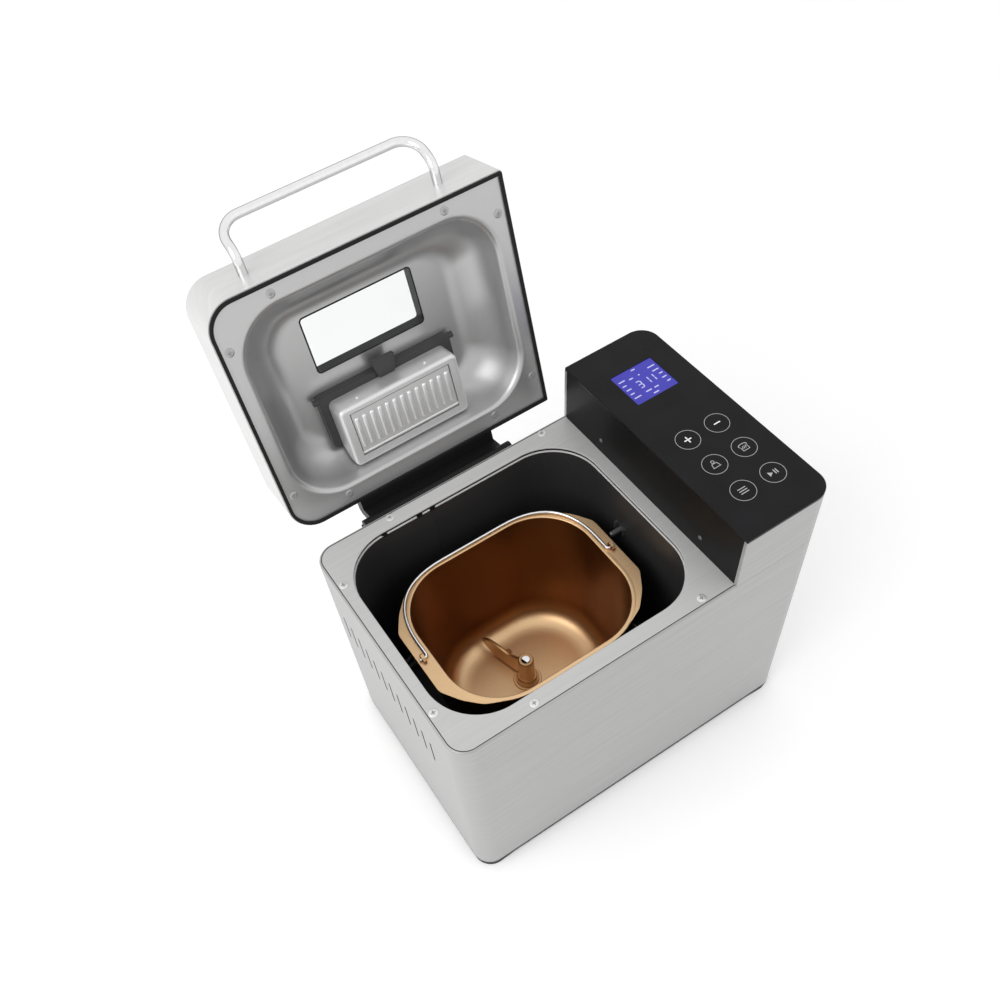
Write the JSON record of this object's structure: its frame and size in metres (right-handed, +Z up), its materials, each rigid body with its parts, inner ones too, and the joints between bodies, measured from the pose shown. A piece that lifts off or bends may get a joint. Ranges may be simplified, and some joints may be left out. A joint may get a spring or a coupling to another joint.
{
  "type": "bread machine",
  "caption": "Steel-cased bread machine with an open windowed lid, lift-out bread pan, belt-driven kneading paddle and a raised touch panel on the right.",
  "frame": {"origin": "middle of the whole machine's outline with the lid open, on the plane the feet rest on", "axes": "+X to the user's right, +Y to the back (the hinge side), +Z up"},
  "size_m": [0.376, 0.3956, 0.518],
  "materials": {
    "brushed_case_steel": "fine horizontal brushing",
    "deck_steel": "satin",
    "liner_aluminium": "satin",
    "oven_enamel": "dark non-stick coating",
    "pan_coating": "copper-coloured non-stick coating",
    "bright_steel": "polished",
    "black_plastic": "fine texture",
    "dispenser_plastic": "satin silver",
    "touch_glass": "gloss",
    "display": "backlit",
    "window_pane": "clear",
    "seal_rubber": "matt",
    "black_rubber": "matt",
    "zinc_sheet": "bare",
    "motor_paint": "matt",
    "bush_bronze": "sintered",
    "element_metal": "oxidised",
    "ceramic": "matt",
    "circuit_board": "lacquered"
  },
  "bodies": {
    "machine": {"base_tray": "black_plastic", "rubber_feet": "black_rubber", "outer_casing": "brushed_case_steel", "deck_frame": "black_plastic", "top_deck": "deck_steel", "deck_screws": "bright_steel", "oven_chamber": "oven_enamel", "heating_element": "element_metal", "element_insulators": "ceramic", "element_clips": "bright_steel", "temperature_probe": "bright_steel", "chamber_support": "zinc_sheet", "bearing_housing": "zinc_sheet", "shaft_bushes": "bush_bronze", "pan_seat": "oven_enamel", "motor_body": "motor_paint", "motor_bracket": "zinc_sheet", "motor_mounts": "black_rubber", "drive_belt": "black_rubber", "power_board": "circuit_board", "board_posts": "zinc_sheet", "control_housing": "black_plastic", "control_wrap": "brushed_case_steel", "control_glass": "touch_glass", "lcd_module": "display", "touch_board": "circuit_board", "housing_screws": "bright_steel", "hinge_base": "black_plastic", "hinge_pin": "bright_steel", "hinge_screws": "bright_steel", "cord_gland": "black_plastic"},
    "drive": {"drive_shaft": "bright_steel", "large_pulley": "black_plastic", "lower_coupling": "zinc_sheet"},
    "motor_rotor": {"motor_shaft": "bright_steel", "motor_pulley": "black_plastic"},
    "pan": {"bread_pan": "pan_coating", "pan_bearing": "bush_bronze", "shaft_seal": "seal_rubber"},
    "bail": {"pan_handle": "bright_steel"},
    "pan_spindle": {"pan_shaft": "bright_steel", "upper_coupling": "zinc_sheet"},
    "paddle": {"kneading_paddle": "pan_coating"},
    "lid": {"lid_shell": "brushed_case_steel", "lid_liner": "liner_aluminium", "lid_gasket": "seal_rubber", "liner_screws": "bright_steel", "window_glass": "window_pane", "window_frame": "black_plastic", "lid_handle": "bright_steel", "handle_screws": "bright_steel", "hinge_arm": "black_plastic", "dispenser_mount": "black_plastic", "dispenser_box": "dispenser_plastic"},
    "flap": {"dispenser_flap": "dispenser_plastic", "flap_pin": "bright_steel"},
    "latch": {"dispenser_latch": "black_plastic"}
  },
  "joints": [
    {"name": "drive_spin", "type": "hinge", "parent": "machine", "child": "drive", "pos_m": [-0.04725, -0.07277, 0.03], "axis": [0, 0, 1], "continuous": true},
    {"name": "motor_spin", "type": "hinge", "parent": "machine", "child": "motor_rotor", "pos_m": [0.136, -0.04777, 0.03], "axis": [0, 0, 1], "continuous": true},
    {"name": "pan_lift", "type": "slide", "parent": "machine", "child": "pan", "axis": [0, 0, 1], "range_m": [0, 0.22]},
    {"name": "bail_swing", "type": "hinge", "parent": "pan", "child": "bail", "pos_m": [-0.04725, -0.07277, 0.2168], "axis": [1, 0, 0], "range_deg": [0, 180]},
    {"name": "spindle_spin", "type": "hinge", "parent": "pan", "child": "pan_spindle", "pos_m": [-0.04725, -0.07277, 0.08], "axis": [0, 0, 1], "continuous": true},
    {"name": "paddle_lift", "type": "slide", "parent": "pan_spindle", "child": "paddle", "axis": [0, 0, 1], "range_m": [0, 0.06]},
    {"name": "lid_hinge", "type": "hinge", "parent": "machine", "child": "lid", "pos_m": [0, 0.05923, 0.2555], "axis": [-1, 0, 0], "range_deg": [-103.7, 0]},
    {"name": "flap_hinge", "type": "hinge", "parent": "lid", "child": "flap", "pos_m": [-0.04825, 0.09831, 0.30392], "axis": [1, 0, 0], "range_deg": [0, 80]},
    {"name": "latch_slide", "type": "slide", "parent": "lid", "child": "latch", "axis": [0, 0.2368, 0.9715], "range_m": [0, 0.002], "stiffness_N_per_m": 200}
  ],
  "couplings": [
    {"joint": "motor_spin", "follows": "drive_spin", "ratio": 5},
    {"joint": "spindle_spin", "follows": "drive_spin", "ratio": 1}
  ]
}
